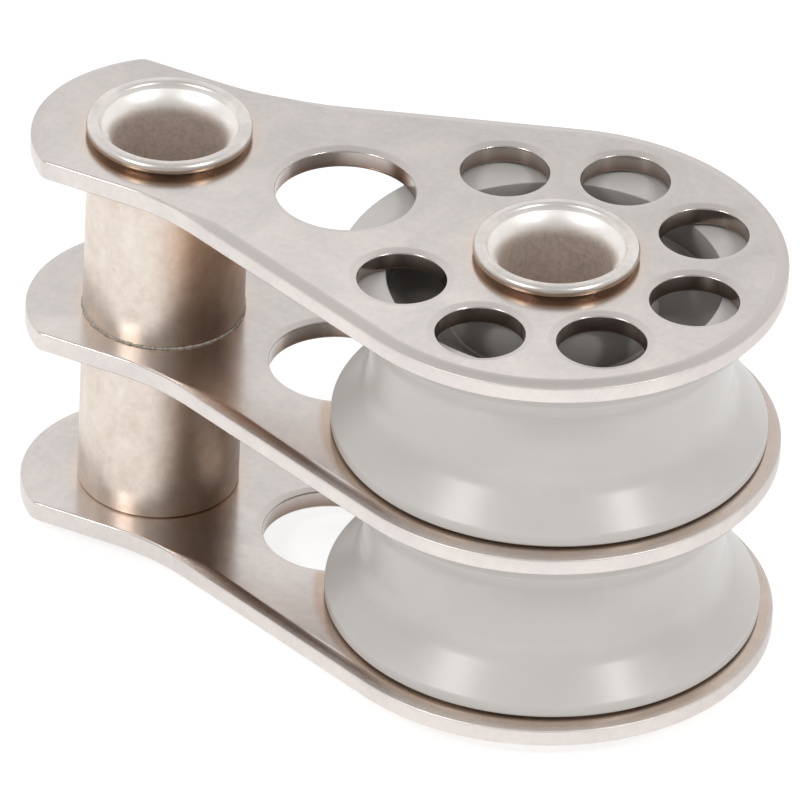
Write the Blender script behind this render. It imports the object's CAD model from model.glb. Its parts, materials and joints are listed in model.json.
import json
import math

import bpy
from mathutils import Matrix, Vector
from mathutils.geometry import delaunay_2d_cdt


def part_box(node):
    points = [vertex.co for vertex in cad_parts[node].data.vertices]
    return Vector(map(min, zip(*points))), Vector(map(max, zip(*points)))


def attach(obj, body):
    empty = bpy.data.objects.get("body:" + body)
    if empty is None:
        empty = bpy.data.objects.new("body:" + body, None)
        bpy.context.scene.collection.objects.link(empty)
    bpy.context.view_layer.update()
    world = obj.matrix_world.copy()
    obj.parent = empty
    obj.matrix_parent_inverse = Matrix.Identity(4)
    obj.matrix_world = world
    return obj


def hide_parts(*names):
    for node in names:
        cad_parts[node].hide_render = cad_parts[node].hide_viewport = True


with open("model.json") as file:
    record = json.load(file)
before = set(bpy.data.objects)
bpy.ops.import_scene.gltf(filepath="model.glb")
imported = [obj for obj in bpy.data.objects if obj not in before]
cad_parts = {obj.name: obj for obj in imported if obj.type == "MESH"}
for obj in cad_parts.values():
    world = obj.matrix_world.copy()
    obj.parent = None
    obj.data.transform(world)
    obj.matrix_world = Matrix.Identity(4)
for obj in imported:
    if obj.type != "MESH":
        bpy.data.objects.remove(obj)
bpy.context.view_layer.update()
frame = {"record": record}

# The looks of a double sheave block. Everything is in metres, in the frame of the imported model:
# +Z along the axle, the head towards -X, the origin on the axle halfway through the middle cheek.

MM = 0.001

# ---------------------------------------------------------------- sizes, from the frame

cheek_low, cheek_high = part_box("cheek_middle")
tube_low, tube_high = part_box("head_spacer_upper")
rivet_low, rivet_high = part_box("axle_rivet")
sheave_low, sheave_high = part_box("sheave_upper")

CHEEK_HALF = cheek_high.z
OUTER_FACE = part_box("cheek_top")[1].z
ROUND_RADIUS = cheek_high.y
ROUND_X = cheek_high.x - ROUND_RADIUS
TUBE_RADIUS = tube_high.y
HEAD_X = (tube_low.x + tube_high.x) / 2
LIP_RADIUS = rivet_high.x
LIP_TOP = rivet_high.z - OUTER_FACE
BORE_RADIUS = frame["record"]["mounts"][0]["dims"]["r_mm"] * MM
SHEAVE_RADIUS = sheave_high.x
SHEAVE_HALF = (sheave_high.z - sheave_low.z) / 2

# The cheek's outline and holes
FLANK_ANGLE = math.radians(20.5)
FLANK_BLEND = 11.6 * MM
HEAD_HALF_WIDTH = 4.95 * MM
HEAD_END = 6.3 * MM
HEAD_CORNER = 0.7 * MM
SMALL_HOLE = 2.03 * MM
SMALL_HOLE_CIRCLE = 7.16 * MM
SMALL_HOLE_PLACES = 8         # equal steps round the circle, the one towards the head left out
LARGE_HOLE = 3.2 * MM
LARGE_HOLE_X = -10.72 * MM
RIVET_HOLE = 3.02 * MM
HOLE_STEPS, LARGE_HOLE_STEPS = 64, 80


# ---------------------------------------------------------------- mesh helpers

def finish_mesh(name, points, faces, normals, material, body, slot, node, shades=None):
    """A mesh piece with given vertex normals that stands for a CAD node and rides on its body.

    shades holds a colour for each vertex, whose channels a material may use as masks.
    """
    mesh = bpy.data.meshes.new(name)
    mesh.from_pydata(points, [], faces)
    mesh.validate()
    if shades:
        layer = mesh.color_attributes.new("masks", "FLOAT_COLOR", "POINT")
        layer.data.foreach_set("color", [channel for shade in shades for channel in (*shade, 1)])
    mesh.shade_smooth()
    mesh.normals_split_custom_set_from_vertices(normals)
    piece = bpy.data.objects.new(name, mesh)
    bpy.context.scene.collection.objects.link(piece)
    mesh.materials.append(material)
    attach(piece, body)
    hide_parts(node)
    return piece


def rounded_section(corners, steps_per_quarter=7):
    """Points and outward normals of a closed polygon whose corners are rounded.

    Each corner is (distance, height, rounding radius), going round with the solid on the left.
    """
    section = []
    count = len(corners)
    for index, (x, y, radius) in enumerate(corners):
        here = Vector((x, y))
        before = Vector(corners[index - 1][:2])
        after = Vector(corners[(index + 1) % count][:2])
        arriving = (here - before).normalized()
        leaving = (after - here).normalized()
        turn = math.atan2(arriving.cross(leaving), arriving.dot(leaving))
        if abs(turn) < 1e-6:
            continue
        side = math.copysign(1, turn)
        start = here - arriving * radius * math.tan(abs(turn) / 2)
        normal = Vector((arriving.y, -arriving.x))
        centre = start - normal * radius * side
        steps = max(2, math.ceil(abs(turn) / (math.pi / 2) * steps_per_quarter))
        for step in range(steps + 1):
            angle = turn * step / steps
            swung = Vector((
                normal.x * math.cos(angle) - normal.y * math.sin(angle),
                normal.x * math.sin(angle) + normal.y * math.cos(angle),
            ))
            section.append((centre + swung * radius * side, swung))
    return section


def turned(name, section, axis_x, middle, segments, mask=None, **fittings):
    """A closed section turned round a vertical axis. mask(radius, height) gives the masks' channels."""
    points, normals, faces = [], [], []
    shades = [] if mask else None
    size = len(section)
    for column in range(segments):
        angle = math.tau * column / segments
        cosine, sine = math.cos(angle), math.sin(angle)
        for point, normal in section:
            points.append((axis_x + point.x * cosine, point.x * sine, middle + point.y))
            normals.append((normal.x * cosine, normal.x * sine, normal.y))
            if mask:
                shades.append(mask(point.x, point.y))
        here, there = column * size, (column + 1) % segments * size
        for row in range(size):
            above = (row + 1) % size
            faces.append((here + row, there + row, there + above, here + above))
    return finish_mesh(name, points, faces, normals, shades=shades, **fittings)


# ---------------------------------------------------------------- cheeks

ROLL_WIDTH = 0.66 * MM        # shallow shoulder round the face that met the punch
ROLL_DEPTH = 0.15 * MM
HEAD_ROLL_WIDTH = 0.12 * MM   # the head's sides are cropped nearly sharp
HEAD_ROLL_DEPTH = 0.01 * MM
CORNER = 0.09 * MM            # tight rounding between the shoulder and the wall
UNDER_EDGE = 0.18 * MM        # tumbled edge on the other face
HOLE_ROLL_WIDTH = 0.42 * MM
HOLE_ROLL_DEPTH = 0.08 * MM
RIVET_HOLE_EDGE = 0.03 * MM
FLANK_ROLL_START, FLANK_ROLL_RUN = 2.9 * MM, 2.6 * MM     # where the shoulder grows along the flanks
END_ROLL_START, END_ROLL_RUN = 3.7 * MM, 2.2 * MM         # and towards the head's end
END_ROLL_SHARE = 0.65
HOLE_DULLNESS, HOLE_CORNER = 0.45, 0.1                    # masks of the holes' shoulders and corners
BRIGHT_CORNER, RUBBED_CORNER = 0.15, 0.8                  # masks of the outline's corner


def arc(centre, radius, start, end, steps, outward=1):
    """Points and outward normals along an arc, the last point left to the next stretch."""
    stretch = []
    for step in range(steps):
        angle = start + (end - start) * step / steps
        normal = Vector((math.cos(angle), math.sin(angle)))
        stretch.append((Vector(centre) + normal * radius, normal * outward))
    return stretch


def run(start, end, normal, steps):
    """Points and normals along a straight stretch, the last point left to the next stretch."""
    return [(start.lerp(end, step / steps), normal) for step in range(steps)]


def cheek_outline():
    """The teardrop, counter-clockwise, as (point, outward normal) pairs."""
    tilt = math.pi / 2 + FLANK_ANGLE
    flank_normal = Vector((math.cos(tilt), math.sin(tilt)))
    flank_start = Vector((ROUND_X, 0)) + flank_normal * ROUND_RADIUS
    shoulder_x = flank_start.x - (flank_start.y - HEAD_HALF_WIDTH) / math.tan(FLANK_ANGLE)
    blend_length = FLANK_BLEND * math.tan(FLANK_ANGLE / 2)
    along_flank = Vector((math.cos(FLANK_ANGLE), math.sin(FLANK_ANGLE)))
    blend_start = Vector((shoulder_x, HEAD_HALF_WIDTH)) + along_flank * blend_length
    blend_end = Vector((shoulder_x - blend_length, HEAD_HALF_WIDTH))
    blend_centre = blend_end + Vector((0, FLANK_BLEND))
    corner_y = HEAD_HALF_WIDTH - HEAD_CORNER
    corner_x = HEAD_X - math.sqrt((HEAD_END - HEAD_CORNER) ** 2 - corner_y ** 2)
    corner_end = math.atan2(corner_y, corner_x - HEAD_X)
    side_end = Vector((corner_x, HEAD_HALF_WIDTH))
    up = Vector((0, 1))
    upper = arc((ROUND_X, 0), ROUND_RADIUS, 0, tilt, 72)
    upper += run(flank_start, blend_start, flank_normal, 14)
    upper += arc(blend_centre, FLANK_BLEND, tilt + math.pi, 1.5 * math.pi, 14, outward=-1)
    upper += run(blend_end, side_end, up, 12)
    upper += arc((corner_x, corner_y), HEAD_CORNER, math.pi / 2, corner_end, 8)
    upper += arc((HEAD_X, 0), HEAD_END, corner_end, math.pi, 14)
    tip = [(Vector((HEAD_X - HEAD_END, 0)), Vector((-1, 0)))]
    lower = [(Vector((p.x, -p.y)), Vector((n.x, -n.y))) for p, n in reversed(upper[1:])]
    return upper + tip + lower


def hole_outline(x, y, radius, steps):
    """A round hole, as (point, normal out of the metal) pairs, clockwise."""
    return [(p, n) for p, n in reversed(arc((x, y), radius, 0, math.tau, steps, outward=-1))]


def roll_along(point):
    """Share of the full shoulder at a point of the outline: none on the head's straight sides."""
    flank = min(1, max(0, (point.x - HEAD_X - FLANK_ROLL_START) / FLANK_ROLL_RUN))
    end = min(1, max(0, (HEAD_X - END_ROLL_START - point.x) / END_ROLL_RUN))
    return flank * flank * (3 - 2 * flank) + END_ROLL_SHARE * end * end * (3 - 2 * end)


def edge_rings(outline, width, depth, corner, under, steps=5):
    """Rings of vertices from the upper flat face down over the edge to the lower face.

    width and depth are the sloping shoulder's size at each outline point. A rounding of radius
    corner leads on into the wall, and one of radius under from the wall to the lower face.
    Each ring comes with three masks: the shoulder, the depth down the wall and the rubbed corner.
    """
    slopes = [math.atan2(down, across - corner) for across, down in zip(width, depth)]
    rings = []

    def add_ring(inward, height, tilt, masks):
        ring = []
        for (point, normal), away, level, lean in zip(outline, inward, height, tilt):
            place = point - normal * away
            flat = math.sin(lean)
            ring.append(((place.x, place.y, level), (normal.x * flat, normal.y * flat, math.cos(lean))))
        rings.append((ring, masks))

    count = len(outline)
    shoulder_end = [corner * (1 - math.sin(slope)) for slope in slopes]
    for along, masks in ((0, (0, 0, 0)), (0.2, (0.75, 0, 0)), (0.5, (1, 0, 0)), (0.9, (0.9, 0, 0.6))):
        inward = [across + (end - across) * along for across, end in zip(width, shoulder_end)]
        height = [CHEEK_HALF - down * along ** 1.25 for down in depth]
        tilt = [slope * min(1, along * 4) for slope in slopes]
        add_ring(inward, height, tilt, masks)
    for step in range(steps + 1):
        tilt = [slope + (math.pi / 2 - slope) * step / steps for slope in slopes]
        inward = [corner * (1 - math.sin(lean)) for lean in tilt]
        height = [
            CHEEK_HALF - down - corner * (math.cos(slope) - math.cos(lean))
            for down, slope, lean in zip(depth, slopes, tilt)
        ]
        add_ring(inward, height, tilt, (0.8 * (1 - step / steps), 0.35 * step / steps, 1))
    for step in range(steps + 1):
        angle = math.pi / 2 * step / steps
        inward = [under * (1 - math.cos(angle))] * count
        height = [-CHEEK_HALF + under * (1 - math.sin(angle))] * count
        add_ring(inward, height, [math.pi / 2 + angle] * count, (0, 1 - step / steps, 0.5))
    return rings


def inside(point, loop):
    """Whether a flat point lies inside a closed loop of flat points."""
    x, y = point
    crossings = 0
    for (ax, ay), (bx, by) in zip(loop, loop[1:] + loop[:1]):
        if (ay > y) != (by > y) and x < (bx - ax) * (y - ay) / (by - ay) + ax:
            crossings += 1
    return crossings % 2 == 1


def flat_face(loops, spacing=0.9 * MM):
    """Triangles between an outer loop and the holes' loops, with a light grid of points inside.

    Returns the extra grid points and the triangles, which number the loops' points in order.
    """
    outer, holes = loops[0], loops[1:]
    points = [Vector(p) for loop in loops for p in loop]
    edges = []
    first = 0
    for loop in loops:
        edges += [(first + i, first + (i + 1) % len(loop)) for i in range(len(loop))]
        first += len(loop)
    centres = [(sum(p[0] for p in hole) / len(hole), sum(p[1] for p in hole) / len(hole)) for hole in holes]
    reach = [math.dist(centre, hole[0]) for centre, hole in zip(centres, holes)]
    low_x, high_x = min(p[0] for p in outer), max(p[0] for p in outer)
    high_y = max(p[1] for p in outer)
    grid = []
    columns = int((high_x - low_x) / spacing)
    rows = int(2 * high_y / spacing)
    clear = 0.4 * spacing
    for column in range(1, columns):
        for row in range(1, rows):
            spot = (low_x + column * spacing, -high_y + (row + 0.5 * (column % 2)) * spacing)
            if any(math.dist(spot, c) < r + clear for c, r in zip(centres, reach)):
                continue
            if not inside(spot, outer) or min(math.dist(spot, p) for p in outer) < clear:
                continue
            grid.append(spot)
    points += [Vector(spot) for spot in grid]
    made, _, triangles, origins, _, _ = delaunay_2d_cdt(points, edges, [], 0, 1e-9)
    number = {i: origin[0] for i, origin in enumerate(origins)}
    kept = []
    for triangle in triangles:
        middle = sum((made[i] for i in triangle), Vector((0, 0))) / 3
        if any(math.dist(middle, c) < r * 0.999 for c, r in zip(centres, reach)):
            continue
        if inside(middle, outer):
            kept.append(tuple(number[i] for i in triangle))
    return grid, kept


def cheek(node, level, dullness):
    """A stamped and tumbled side plate at a height, with its rolled edges and punched holes.

    dullness is how dull its outer shoulder has stayed, from 0 to 1.
    """
    outline = cheek_outline()
    share = [roll_along(point) for point, _ in outline]
    width = [HEAD_ROLL_WIDTH + (ROLL_WIDTH - HEAD_ROLL_WIDTH) * s for s in share]
    depth = [HEAD_ROLL_DEPTH + (ROLL_DEPTH - HEAD_ROLL_DEPTH) * s for s in share]
    edge = edge_rings(outline, width, depth, CORNER, UNDER_EDGE)
    rubbed_edge = [BRIGHT_CORNER + (RUBBED_CORNER - BRIGHT_CORNER) * min(1, s) for s in share]
    # Each stack of rings goes with its shoulder's dullness, its wall's brownness and its rubbed corner.
    stacks = [(edge, [s * dullness for s in share], 0, rubbed_edge)]
    holes = [(LARGE_HOLE_X, 0, LARGE_HOLE, LARGE_HOLE_STEPS)]
    for place in range(1, SMALL_HOLE_PLACES):
        angle = math.pi + math.tau * place / SMALL_HOLE_PLACES
        x = ROUND_X + SMALL_HOLE_CIRCLE * math.cos(angle)
        y = SMALL_HOLE_CIRCLE * math.sin(angle)
        holes.append((x, y, SMALL_HOLE, HOLE_STEPS))
    for x, y, radius, steps in holes:
        loop = hole_outline(x, y, radius, steps)
        rolls = [HOLE_ROLL_WIDTH] * steps, [HOLE_ROLL_DEPTH] * steps
        rings = edge_rings(loop, *rolls, CORNER, UNDER_EDGE)
        stacks.append((rings, [HOLE_DULLNESS] * steps, 1, [HOLE_CORNER] * steps))
    for x in (0, HEAD_X):
        loop = hole_outline(x, 0, RIVET_HOLE, HOLE_STEPS)
        rolls = [1.2 * RIVET_HOLE_EDGE] * HOLE_STEPS, [0.1 * RIVET_HOLE_EDGE] * HOLE_STEPS
        rings = edge_rings(loop, *rolls, RIVET_HOLE_EDGE, RIVET_HOLE_EDGE)
        stacks.append((rings, [0] * HOLE_STEPS, 1, [0] * HOLE_STEPS))
    points, normals, faces, shades = [], [], [], []
    tops, bottoms = [], []
    for rings, shoulder, wall, rubbed in stacks:
        size = len(rings[0][0])
        first = len(points)
        for ring, masks in rings:
            for (place, normal), weight, rub in zip(ring, shoulder, rubbed):
                points.append((place[0], place[1], place[2] + level))
                normals.append(normal)
                shades.append((masks[0] * weight, masks[1] * wall, masks[2] * rub))
        for row in range(len(rings) - 1):
            for i in range(size):
                j = (i + 1) % size
                above, below = first + row * size, first + (row + 1) * size
                faces.append((above + i, below + i, below + j, above + j))
        tops.append([first + i for i in range(size)])
        last = first + (len(rings) - 1) * size
        bottoms.append([last + i for i in range(size)])
    for loops, height, facing in ((tops, CHEEK_HALF, 1), (bottoms, -CHEEK_HALF, -1)):
        numbers = [i for loop in loops for i in loop]
        flat_loops = [[points[i][:2] for i in loop] for loop in loops]
        grid, triangles = flat_face(flat_loops)
        for spot in grid:
            numbers.append(len(points))
            points.append((spot[0], spot[1], height + level))
            normals.append((0, 0, facing))
            shades.append((0, 0, 0))
        for a, b, c in triangles:
            order = (a, b, c) if facing > 0 else (a, c, b)
            faces.append(tuple(numbers[i] for i in order))
    return finish_mesh(
        node + "_plate", points, faces, normals, materials["cheek"], "frame", "cheek_steel", node, shades
    )


# ---------------------------------------------------------------- rivets, tubes, sheaves

RIVET_RADIUS = 3.0 * MM
FLARE_BEND_DEPTH, FLARE_BEND = 0.12 * MM, 1.3 * MM        # the flare's wide rounding, below the face
FLARE_MOUTH, FLARE_MOUTH_HEIGHT = 3.1 * MM, 0.38 * MM     # heights are above the outer cheek's face
LIP_INNER, LIP_INNER_ROUND, LIP_ROUND = 3.24 * MM, 0.22 * MM, 0.3 * MM
LIP_EDGE_HEIGHT, LIP_SEAT = 0.25 * MM, 3.28 * MM
LIP_OUTSIDE = 3.4 * MM                                    # the lip's outer side starts here
SEAT_GAP = 0.01 * MM

TUBE_EDGE, TUBE_INNER_EDGE = 0.12 * MM, 0.05 * MM

GROOVE_BOTTOM, GROOVE_FLAT_HALF, GROOVE_BLEND = 8.25 * MM, 1.0 * MM, 1.8 * MM
GROOVE_TILT = math.radians(43)
RIM_ROUND = 0.15 * MM
RECESS_OUTER, RECESS_OUTER_DEPTH = 7.65 * MM, 1.6 * MM
RECESS_INNER, RECESS_INNER_DEPTH = 4.75 * MM, 2.2 * MM
RECESS_BLEND = 0.12 * MM
SHEAVE_BORE = 3.75 * MM


def rivet_section():
    """A hollow rivet's wall: straight bore, trumpet flare and rolled lip, at both ends."""
    half = [
        (BORE_RADIUS, OUTER_FACE - FLARE_BEND_DEPTH, FLARE_BEND),
        (FLARE_MOUTH, OUTER_FACE + FLARE_MOUTH_HEIGHT, 0.03 * MM),
        (LIP_INNER, OUTER_FACE + LIP_TOP, LIP_INNER_ROUND),
        (LIP_RADIUS, OUTER_FACE + LIP_TOP, LIP_ROUND),
        (LIP_RADIUS, OUTER_FACE + LIP_EDGE_HEIGHT, 0.07 * MM),
        (LIP_SEAT, OUTER_FACE + SEAT_GAP, 0.03 * MM),
        (RIVET_RADIUS, OUTER_FACE + SEAT_GAP, 0.02 * MM),
    ]
    lower = [(x, -z, r) for x, z, r in half]
    return rounded_section(lower + list(reversed(half)), 12)


def lip_mask(radius, height):
    """A rivet's masks: low down on the lip's outside, where polish never reached, and on the lip at all."""
    below_crown = OUTER_FACE + LIP_TOP - abs(height)
    under = min(1, max(0, (below_crown / MM - 0.1) / 0.22)) if radius > LIP_OUTSIDE else 0
    on_lip = min(1, max(0, (radius / MM - 3.12) / 0.12))
    return under, on_lip, 0


def spacer_section(half_length):
    """A tube's wall, with its outer edges broken."""
    return [
        (RIVET_HOLE, -half_length, TUBE_INNER_EDGE),
        (TUBE_RADIUS, -half_length, TUBE_EDGE),
        (TUBE_RADIUS, half_length, TUBE_EDGE),
        (RIVET_HOLE, half_length, TUBE_INNER_EDGE),
    ]


def recess_mask(radius, height):
    """The first channel is 1 inside a sheave's side recess, 0 elsewhere."""
    between = RECESS_INNER - 0.05 * MM < radius < RECESS_OUTER + 0.05 * MM
    in_recess = between and abs(height) < SHEAVE_HALF - 0.2 * MM
    return (1 if in_recess else 0), 0, 0


def foot_bead(node, axis_x, foot):
    """A thin ragged bead of old polish and dirt round a tube's foot, on the cheek below it."""
    section = [(-0.3, 0.0), (0.55, 0.05), (0.9, 0.5), (0.45, 1.0), (-0.3, 1.0)]
    points, normals, faces = [], [], []
    columns, size = 360, len(section)
    for column in range(columns):
        angle = math.tau * column / columns
        lump = 0.5 + 0.2 * math.sin(23 * angle) + 0.16 * math.sin(41 * angle + 1)
        lump += 0.14 * math.sin(67 * angle + 2)
        width, height = 0.03 * MM + 0.07 * MM * lump, 0.05 * MM + 0.06 * MM * lump
        for across, up in section:
            radius = TUBE_RADIUS + across * width
            points.append((axis_x + radius * math.cos(angle), radius * math.sin(angle), foot + up * height))
            lean = Vector((across * math.cos(angle), across * math.sin(angle), up)).normalized()
            normals.append(tuple(lean))
        here, there = column * size, (column + 1) % columns * size
        for row in range(size):
            above = (row + 1) % size
            faces.append((here + row, there + row, there + above, here + above))
    return finish_mesh(
        node + "_foot_bead", points, faces, normals, materials["residue"], "frame", "tube_steel", node
    )


def sheave_section():
    """A sheave's wall: bore, hub, dished recess, side land, rim and the rope groove."""
    foot_x = GROOVE_BOTTOM + GROOVE_BLEND * (1 - math.cos(GROOVE_TILT))
    foot_z = GROOVE_FLAT_HALF + GROOVE_BLEND * math.sin(GROOVE_TILT)
    corner_z = foot_z - (foot_x - GROOVE_BOTTOM) / math.tan(GROOVE_TILT)
    rim_z = foot_z + (SHEAVE_RADIUS - foot_x) / math.tan(GROOVE_TILT)
    upper = [
        (GROOVE_BOTTOM, corner_z, GROOVE_BLEND),
        (SHEAVE_RADIUS, rim_z, RIM_ROUND),
        (SHEAVE_RADIUS, SHEAVE_HALF, RIM_ROUND),
        (RECESS_OUTER, SHEAVE_HALF, 0.08 * MM),
        (RECESS_OUTER, SHEAVE_HALF - RECESS_OUTER_DEPTH, RECESS_BLEND),
        (RECESS_INNER, SHEAVE_HALF - RECESS_INNER_DEPTH, RECESS_BLEND),
        (RECESS_INNER, SHEAVE_HALF, 0.1 * MM),
        (SHEAVE_BORE, SHEAVE_HALF, 0.08 * MM),
    ]
    lower = [(x, -z, r) for x, z, r in reversed(upper)]
    return rounded_section(lower + upper)


# ---------------------------------------------------------------- materials

def node_in(tree, kind, inputs=(), **settings):
    """A shader node with its settings and inputs, which are values or other nodes' outputs."""
    made = tree.nodes.new(kind)
    for name, value in settings.items():
        setattr(made, name, value)
    for name, value in dict(inputs).items():
        if isinstance(value, bpy.types.NodeSocket):
            tree.links.new(value, made.inputs[name])
        else:
            made.inputs[name].default_value = value
    return made


def noise(tree, coordinates, size, detail=4, roughness=0.55, distortion=0.0):
    """Noise whose features are about size metres across."""
    made = node_in(
        tree, "ShaderNodeTexNoise",
        {"Vector": coordinates, "Scale": 1 / size, "Detail": detail,
         "Roughness": roughness, "Distortion": distortion},
    )
    return made.outputs["Fac"]


def ramp(tree, factor, *stops):
    """A colour ramp with (position, colour) stops. A plain number stands for a grey."""
    made = node_in(tree, "ShaderNodeValToRGB", {"Fac": factor})
    elements = made.color_ramp.elements
    while len(elements) < len(stops):
        elements.new(0.5)
    for element, (position, colour) in zip(elements, stops):
        element.position = position
        element.color = (colour,) * 3 + (1,) if isinstance(colour, (int, float)) else (*colour, 1)
    return made.outputs["Color"]


def blend(tree, factor, first, second, mode="MIX"):
    """One colour blended into another."""
    made = node_in(tree, "ShaderNodeMix", data_type="RGBA", blend_type=mode)
    for socket, value in ((made.inputs[0], factor), (made.inputs[6], first), (made.inputs[7], second)):
        if isinstance(value, bpy.types.NodeSocket):
            tree.links.new(value, socket)
        elif isinstance(value, (int, float)):
            socket.default_value = value
        else:
            socket.default_value = (*value, 1)
    return made.outputs[2]


def bumps(tree, *layers):
    """Bump layers, each (height, strength, depth in metres), one over the other."""
    normal = None
    for height, strength, distance in layers:
        inputs = {"Height": height, "Strength": strength, "Distance": distance}
        if normal is not None:
            inputs["Normal"] = normal
        normal = node_in(tree, "ShaderNodeBump", inputs).outputs["Normal"]
    return normal


def material(name, metallic, **sockets):
    """A new material, its node tree, its shader and the piece's own coordinates."""
    made = bpy.data.materials.new(name)
    made.use_nodes = True
    tree = made.node_tree
    shader = tree.nodes["Principled BSDF"]
    shader.inputs["Metallic"].default_value = metallic
    for socket, value in sockets.items():
        shader.inputs[socket].default_value = value
    coordinates = node_in(tree, "ShaderNodeTexCoord").outputs["Object"]
    return made, tree, shader, coordinates


def wire(tree, shader, **outputs):
    for name, output in outputs.items():
        tree.links.new(output, shader.inputs[name.replace("_", " ")])


def cheek_steel():
    """Stainless sheet, tumbled and polished: cloudy warm grey with fine pits and soft ripples.

    It is duller towards +Y, golden round the rivets, and brown with grease round the sheaves on
    the two lower cheeks. The masks dull the shoulders and brown the walls of the punched holes.
    """
    made, tree, shader, here = material("polished_stainless_sheet", 1.0)
    masks = node_in(tree, "ShaderNodeAttribute", attribute_name="masks").outputs["Color"]
    channels = node_in(tree, "ShaderNodeSeparateColor", {"Color": masks})
    clouds = noise(tree, here, 4.5 * MM, 6, 0.65, 0.8)
    tint = ramp(tree, clouds, (0.3, (0.675, 0.63, 0.61)), (0.68, (0.79, 0.73, 0.695)))
    place = node_in(tree, "ShaderNodeSeparateXYZ", {"Vector": here}).outputs
    side = node_in(
        tree, "ShaderNodeMapRange",
        {"Value": place["Y"], "From Min": -ROUND_RADIUS, "From Max": ROUND_RADIUS},
    ).outputs["Result"]
    duller = ramp(tree, side, (0.1, 1.0), (0.55, 0.85), (1.0, 0.78))
    colour = blend(tree, 1.0, tint, duller, "MULTIPLY")
    grain = ramp(tree, noise(tree, here, 0.35 * MM, 3, 0.6), (0.35, 0.97), (0.65, 1.015))
    colour = blend(tree, 1.0, colour, grain, "MULTIPLY")
    pits = noise(tree, here, 0.2 * MM, 2, 0.5)
    pitted = ramp(tree, pits, (0.2, 0.84), (0.27, 1.0))
    colour = blend(tree, 1.0, colour, pitted, "MULTIPLY")
    for axis_x in (0, HEAD_X):
        away = node_in(tree, "ShaderNodeVectorMath", {0: here, 1: (axis_x, 0, 0)}, operation="SUBTRACT")
        flat = node_in(tree, "ShaderNodeVectorMath", {0: away.outputs[0], 1: (1, 1, 0)}, operation="MULTIPLY")
        reach = node_in(tree, "ShaderNodeVectorMath", {0: flat.outputs[0]}, operation="LENGTH")
        ring = node_in(
            tree, "ShaderNodeMapRange",
            {"Value": reach.outputs["Value"], "From Min": 4.6 * MM, "From Max": 3.6 * MM},
            interpolation_type="SMOOTHSTEP",
        ).outputs["Result"]
        golden = ramp(tree, ring, (0.0, (1.0, 1.0, 1.0)), (1.0, (1.08, 1.0, 0.93)))
        colour = blend(tree, 1.0, colour, golden, "MULTIPLY")
        if axis_x == 0:
            rim = node_in(
                tree, "ShaderNodeMapRange",
                {"Value": reach.outputs["Value"], "From Min": 9.2 * MM, "From Max": 10.7 * MM},
            ).outputs["Result"]
    grease = ramp(tree, rim, (0.0, 1.0), (0.35, (0.9, 0.79, 0.69)), (0.7, (0.9, 0.79, 0.69)), (0.88, 1.0))
    greasy = blend(tree, 1.0, colour, grease, "MULTIPLY")
    below_top = node_in(tree, "ShaderNodeMath", {0: place["Z"], 1: OUTER_FACE / 2}, operation="LESS_THAN")
    colour = blend(tree, below_top.outputs[0], colour, greasy)
    colour = blend(tree, channels.outputs["Red"], colour, (0.6, 0.555, 0.535))
    colour = blend(tree, channels.outputs["Green"], colour, (0.25, 0.185, 0.15))
    smudges = noise(tree, here, 2.2 * MM, 6, 0.7)
    sheen = ramp(tree, smudges, (0.3, 0.15), (0.7, 0.24))
    sheen = blend(tree, channels.outputs["Red"], sheen, (0.3, 0.3, 0.3))
    sheen = blend(tree, channels.outputs["Blue"], sheen, (0.5, 0.5, 0.5))
    ripples = noise(tree, here, 1.6 * MM, 3, 0.55)
    brushed = node_in(
        tree, "ShaderNodeMapping", {"Vector": here, "Rotation": (0, 0, 0.6), "Scale": (0.12, 1, 1)}
    )
    scratches = noise(tree, brushed.outputs["Vector"], 0.16 * MM, 3, 0.6)
    normal = bumps(
        tree, (ripples, 0.3, 0.008 * MM), (scratches, 0.2, 0.0015 * MM), (pitted, 0.3, 0.003 * MM)
    )
    wire(tree, shader, Base_Color=colour, Roughness=sheen, Normal=normal)
    return made


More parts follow.
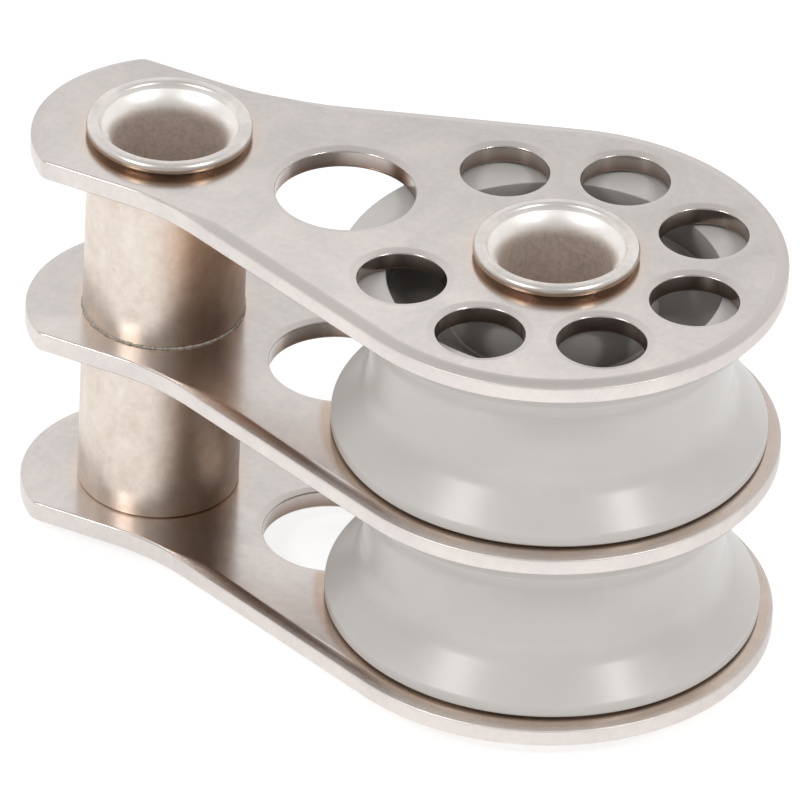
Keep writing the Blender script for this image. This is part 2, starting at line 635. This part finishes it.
def tube_steel():
    """Drawn stainless tube: satin, with stains, specks and faint lines along its length.

    The side of the head spacers towards the sheaves is browner, and more so lower down.
    """
    made, tree, shader, here = material("satin_stainless_tube", 1.0)
    drawn_along = node_in(tree, "ShaderNodeMapping", {"Vector": here, "Scale": (1, 1, 0.6)})
    streaks = noise(tree, drawn_along.outputs["Vector"], 1.5 * MM, 6, 0.68, 0.3)
    tint = ramp(
        tree, streaks, (0.34, (0.68, 0.595, 0.525)), (0.5, (0.74, 0.66, 0.595)), (0.7, (0.785, 0.72, 0.665))
    )
    specks = noise(tree, here, 0.25 * MM, 3, 0.6)
    speckled = ramp(tree, specks, (0.22, 0.5), (0.29, 1.0))
    marks = noise(tree, here, 0.6 * MM, 4, 0.7)
    blotches = ramp(tree, marks, (0.35, (0.93, 0.905, 0.88)), (0.6, (1.02, 1.015, 1.01)))
    colour = blend(tree, 1.0, tint, speckled, "MULTIPLY")
    colour = blend(tree, 1.0, colour, blotches, "MULTIPLY")
    parts = node_in(tree, "ShaderNodeSeparateXYZ", {"Vector": here})
    inward = node_in(
        tree, "ShaderNodeMapRange",
        {"Value": parts.outputs["X"],
         "From Min": HEAD_X + 0.25 * TUBE_RADIUS, "From Max": HEAD_X + 0.75 * TUBE_RADIUS},
        interpolation_type="SMOOTHSTEP",
    ).outputs["Result"]
    grime = node_in(
        tree, "ShaderNodeMapRange",
        {"Value": parts.outputs["Z"], "From Min": 6.5 * MM, "From Max": 1.0 * MM},
        interpolation_type="SMOOTHSTEP",
    ).outputs["Result"]
    stain = ramp(tree, grime, (0.0, (0.78, 0.59, 0.47)), (1.0, (0.38, 0.31, 0.265)))
    stained = blend(tree, 1.0, colour, stain, "MULTIPLY")
    colour = blend(tree, inward, colour, stained)
    fine_lines = node_in(tree, "ShaderNodeMapping", {"Vector": here, "Scale": (1, 1, 0.06)})
    lines = noise(tree, fine_lines.outputs["Vector"], 0.14 * MM, 3, 0.6)
    patches = noise(tree, here, 1.1 * MM, 5, 0.65)
    sheen = ramp(tree, patches, (0.3, 0.3), (0.7, 0.4))
    normal = bumps(tree, (lines, 0.3, 0.002 * MM), (patches, 0.25, 0.005 * MM), (speckled, 0.5, 0.003 * MM))
    wire(tree, shader, Base_Color=colour, Roughness=sheen, Normal=normal)
    return made


def rivet_steel():
    """Stainless rivet: bright burnished lips, and a duller, browner bore left as drawn."""
    made, tree, shader, here = material("burnished_stainless_rivet", 1.0)
    parts = node_in(tree, "ShaderNodeSeparateXYZ", {"Vector": here})
    depth = node_in(tree, "ShaderNodeMath", {0: parts.outputs["Z"]}, operation="ABSOLUTE").outputs[0]
    bright = node_in(
        tree, "ShaderNodeMapRange",
        {"Value": depth, "From Min": OUTER_FACE - 0.9 * MM, "From Max": OUTER_FACE + 0.1 * MM},
        interpolation_type="SMOOTHSTEP",
    ).outputs["Result"]
    mottle = noise(tree, here, 0.7 * MM, 5, 0.7)
    bore_tint = ramp(tree, mottle, (0.3, (0.74, 0.645, 0.58)), (0.7, (0.86, 0.785, 0.72)))
    clouds = noise(tree, here, 1.3 * MM, 5, 0.65, 0.5)
    flare_tint = ramp(tree, clouds, (0.35, (0.88, 0.85, 0.82)), (0.65, (0.94, 0.915, 0.89)))
    speckle = noise(tree, here, 0.22 * MM, 3, 0.6)
    speckled = ramp(tree, speckle, (0.35, 0.84), (0.6, 1.0))
    bore_tint = blend(tree, 1.0, bore_tint, speckled, "MULTIPLY")
    colour = blend(tree, bright, bore_tint, flare_tint)
    masks = node_in(tree, "ShaderNodeAttribute", attribute_name="masks").outputs["Color"]
    channels = node_in(tree, "ShaderNodeSeparateColor", {"Color": masks})
    crown_tint = ramp(tree, clouds, (0.35, (0.66, 0.62, 0.59)), (0.65, (0.8, 0.76, 0.73)))
    colour = blend(tree, channels.outputs["Green"], colour, crown_tint)
    colour = blend(tree, channels.outputs["Red"], colour, (0.38, 0.285, 0.21))
    bore_sheen = ramp(tree, mottle, (0.3, 0.75), (0.7, 0.6))
    flare_sheen = ramp(tree, clouds, (0.35, 0.52), (0.65, 0.44))
    crown_sheen = ramp(tree, clouds, (0.35, 0.36), (0.65, 0.26))
    sheen = blend(tree, bright, bore_sheen, flare_sheen)
    sheen = blend(tree, channels.outputs["Green"], sheen, crown_sheen)
    fine = noise(tree, here, 0.3 * MM, 3, 0.6)
    normal = bumps(tree, (clouds, 0.22, 0.012 * MM), (fine, 0.12, 0.002 * MM))
    wire(tree, shader, Base_Color=colour, Roughness=sheen, Normal=normal)
    return made


def sheave_plastic():
    """Moulded light grey acetal: smooth and semi-gloss, faintly mottled, grimy in the recesses."""
    made, tree, shader, here = material("grey_acetal", 0.0, Roughness=0.3, IOR=1.5)
    mottle = noise(tree, here, 4 * MM, 4, 0.55)
    tint = ramp(tree, mottle, (0.1, (0.505, 0.485, 0.465)), (0.9, (0.575, 0.555, 0.535)))
    masks = node_in(tree, "ShaderNodeAttribute", attribute_name="masks").outputs["Color"]
    channels = node_in(tree, "ShaderNodeSeparateColor", {"Color": masks})
    tint = blend(tree, channels.outputs["Red"], tint, (0.27, 0.25, 0.235))
    wire(tree, shader, Base_Color=tint)
    return made


def floor_finish():
    """White card lit from below as well, so that shadows on it stay faint."""
    made, tree, shader, here = material("white_card", 0.0, Roughness=0.9)
    fibres = noise(tree, here, 2 * MM, 4, 0.6)
    tint = ramp(tree, fibres, (0.3, 0.36), (0.7, 0.37))
    wire(tree, shader, Base_Color=tint)
    shader.inputs["Emission Color"].default_value = (1, 1, 1, 1)
    shader.inputs["Emission Strength"].default_value = 0.76
    return made


def residue():
    """Dried polish and dirt: matt grey-green with darker grains."""
    made, tree, shader, here = material("dried_polish", 0.0, Roughness=0.75)
    grains = noise(tree, here, 0.15 * MM, 3, 0.6)
    tint = ramp(tree, grains, (0.34, (0.22, 0.20, 0.17)), (0.56, (0.52, 0.50, 0.44)))
    wire(tree, shader, Base_Color=tint, Normal=bumps(tree, (grains, 0.6, 0.02 * MM)))
    return made


materials = {
    "cheek": cheek_steel(),
    "residue": residue(),
    "tube": tube_steel(),
    "rivet": rivet_steel(),
    "sheave": sheave_plastic(),
}


# ---------------------------------------------------------------- the block

for node, dullness in (("cheek_bottom", 0.1), ("cheek_middle", 0.25), ("cheek_top", 1)):
    low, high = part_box(node)
    cheek(node, (low.z + high.z) / 2, dullness)

for node, axis_x in (("axle_rivet", 0), ("head_rivet", HEAD_X)):
    turned(
        node + "_tube", rivet_section(), axis_x, 0, 160, lip_mask,
        material=materials["rivet"], body="frame", slot="rivet_steel", node=node,
    )

for node in ("head_spacer_lower", "head_spacer_upper", "axle_bush_lower", "axle_bush_upper"):
    low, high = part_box(node)
    section = rounded_section(spacer_section((high.z - low.z) / 2))
    turned(
        node + "_tube", section, (low.x + high.x) / 2, (low.z + high.z) / 2, 128,
        material=materials["tube"], body="frame", slot="tube_steel", node=node,
    )

foot_bead("head_spacer_upper", HEAD_X, tube_low.z)

for node, body in (("sheave_lower", "lower_sheave"), ("sheave_upper", "upper_sheave")):
    low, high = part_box(node)
    turned(
        node + "_wheel", sheave_section(), 0, (low.z + high.z) / 2, 192, recess_mask,
        material=materials["sheave"], body=body, slot="sheave_plastic", node=node,
    )


# ---------------------------------------------------------------- camera, floor and light

CAMERA_AZIMUTH = math.radians(26.27)
CAMERA_ELEVATION = math.radians(33.95)
CAMERA_ROLL = math.radians(2.25)
CAMERA_LENS = 1200
CAMERA_WIDTH = 36.22 * MM           # width that the picture covers at the block
AIM_RIGHT, AIM_UP = -6.724 * MM, 1.61 * MM


def add_camera():
    a, e = CAMERA_AZIMUTH, CAMERA_ELEVATION
    back = Vector((math.sin(a) * math.cos(e), -math.cos(a) * math.cos(e), math.sin(e)))
    level = Vector((math.cos(a), math.sin(a), 0))
    rise = back.cross(level)
    right = level * math.cos(CAMERA_ROLL) + rise * math.sin(CAMERA_ROLL)
    up = rise * math.cos(CAMERA_ROLL) - level * math.sin(CAMERA_ROLL)
    data = bpy.data.cameras.new("camera")
    data.lens = CAMERA_LENS
    data.sensor_width = 36
    distance = CAMERA_WIDTH * CAMERA_LENS / data.sensor_width
    place = right * AIM_RIGHT + up * AIM_UP + back * distance
    camera = bpy.data.objects.new("camera", data)
    camera.matrix_world = Matrix((
        (right.x, up.x, back.x, place.x),
        (right.y, up.y, back.y, place.y),
        (right.z, up.z, back.z, place.z),
        (0, 0, 0, 1),
    ))
    data.clip_start, data.clip_end = 0.01, 10
    bpy.context.scene.collection.objects.link(camera)
    bpy.context.scene.camera = camera


def add_floor():
    reach = 3.0
    level = rivet_low.z
    mesh = bpy.data.meshes.new("floor")
    mesh.from_pydata(
        [(-reach, -reach, level), (reach, -reach, level), (reach, reach, level), (-reach, reach, level)],
        [], [(0, 1, 2, 3)],
    )
    floor = bpy.data.objects.new("floor", mesh)
    mesh.materials.append(floor_finish())
    bpy.context.scene.collection.objects.link(floor)


def softbox(name, azimuth, elevation, distance, width, height, brightness, colour):
    """A soft lamp aimed at the block. brightness is how bright its face looks, 1 being white."""
    a, e = math.radians(azimuth), math.radians(elevation)
    away = Vector((math.sin(a) * math.cos(e), -math.cos(a) * math.cos(e), math.sin(e)))
    data = bpy.data.lights.new(name, "AREA")
    data.shape = "RECTANGLE"
    data.size, data.size_y = width, height
    data.energy = brightness * math.pi * width * height
    data.color = colour
    lamp = bpy.data.objects.new(name, data)
    lamp.location = away * distance
    lamp.rotation_euler = away.to_track_quat("Z", "Y").to_euler()
    bpy.context.scene.collection.objects.link(lamp)


def add_surroundings():
    """A pale studio: white low down and behind, greyer overhead on the near side."""
    world = bpy.data.worlds.new("studio")
    bpy.context.scene.world = world
    world.use_nodes = True
    tree = world.node_tree
    direction = node_in(tree, "ShaderNodeTexCoord").outputs["Generated"]
    near = Vector((math.sin(CAMERA_AZIMUTH), -math.cos(CAMERA_AZIMUTH), 0))
    facing = node_in(tree, "ShaderNodeVectorMath", {0: direction, 1: near}, operation="DOT_PRODUCT")
    nearness = node_in(
        tree, "ShaderNodeMapRange",
        {"Value": facing.outputs["Value"], "From Min": -0.2, "From Max": 0.35},
        interpolation_type="SMOOTHSTEP",
    ).outputs["Result"]
    height = node_in(tree, "ShaderNodeSeparateXYZ", {"Vector": direction}).outputs["Z"]
    far_side = ramp(tree, height, (0.0, 1.0), (0.7, 0.98), (0.88, 0.75), (1.0, 0.6))
    near_side = ramp(tree, height, (0.0, 0.75), (0.4, 0.5), (0.8, 0.5), (1.0, 0.7))
    colour = blend(tree, nearness, far_side, near_side)
    background = tree.nodes["Background"]
    tree.links.new(colour, background.inputs["Color"])
    background.inputs["Strength"].default_value = 1.0


add_camera()
add_floor()
add_surroundings()
softbox("left_softbox", -26, 44, 0.5, 0.13, 0.11, 13.0, (1.0, 0.99, 0.98))
softbox("right_softbox", 77, 47, 0.5, 0.06, 0.12, 24.0, (1.0, 0.99, 0.98))

bpy.context.scene.view_settings.view_transform = "Standard"
